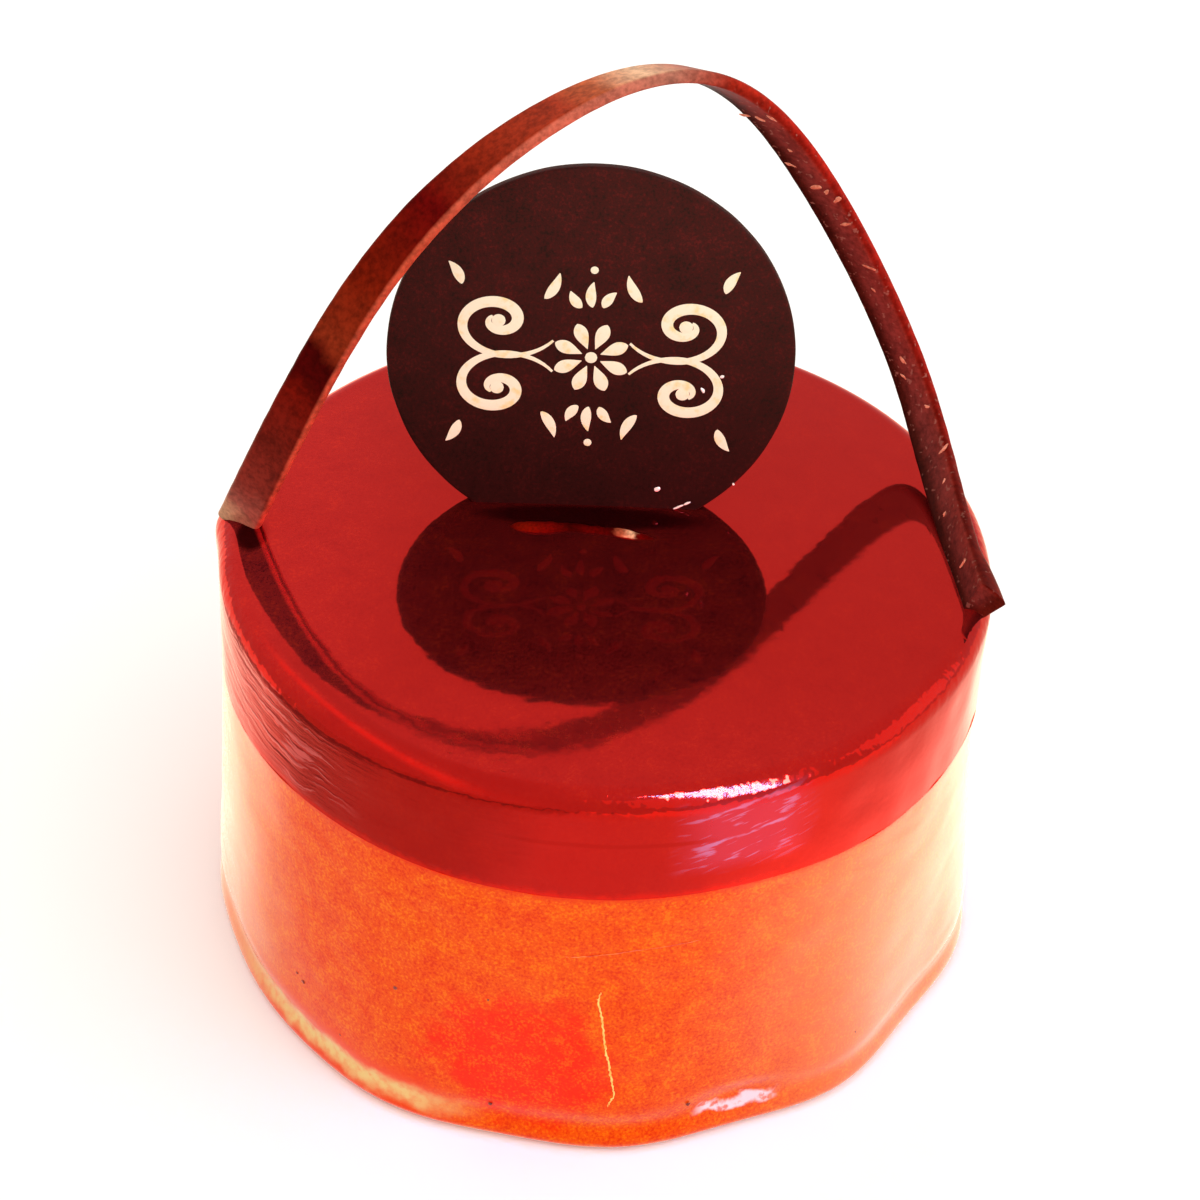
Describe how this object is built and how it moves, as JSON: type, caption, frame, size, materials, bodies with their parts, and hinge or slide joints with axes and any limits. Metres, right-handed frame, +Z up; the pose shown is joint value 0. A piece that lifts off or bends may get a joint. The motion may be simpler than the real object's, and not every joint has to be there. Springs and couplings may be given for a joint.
{
  "type": "chocolate mousse cake",
  "caption": "Single-serving round mousse cake with a mirror-glazed dark top layer, an upright chocolate plaque and a chocolate ribbon arching over it.",
  "frame": {"origin": "centre of the flat base, on the surface the cake stands on", "axes": "+Z up, the plaque faces -Y, the ribbon rises from the left rim at -X and comes down on the right rim at +X"},
  "size_m": [0.0725, 0.0721, 0.0831],
  "materials": {
    "milk_chocolate_mousse": "smooth set mousse under a thin clear glaze, orange-brown",
    "dark_chocolate_glaze": "mirror-gloss dark chocolate glaze with a red cast",
    "plaque_chocolate": "satin dark chocolate with a pale cream transfer print",
    "ribbon_chocolate": "satin tempered chocolate, paler where it catches the light, with small scuffs"
  },
  "bodies": {
    "root": {"mousse_layer": "milk_chocolate_mousse", "dark_glazed_layer": "dark_chocolate_glaze", "plaque": "plaque_chocolate", "ribbon": "ribbon_chocolate"}
  },
  "joints": []
}
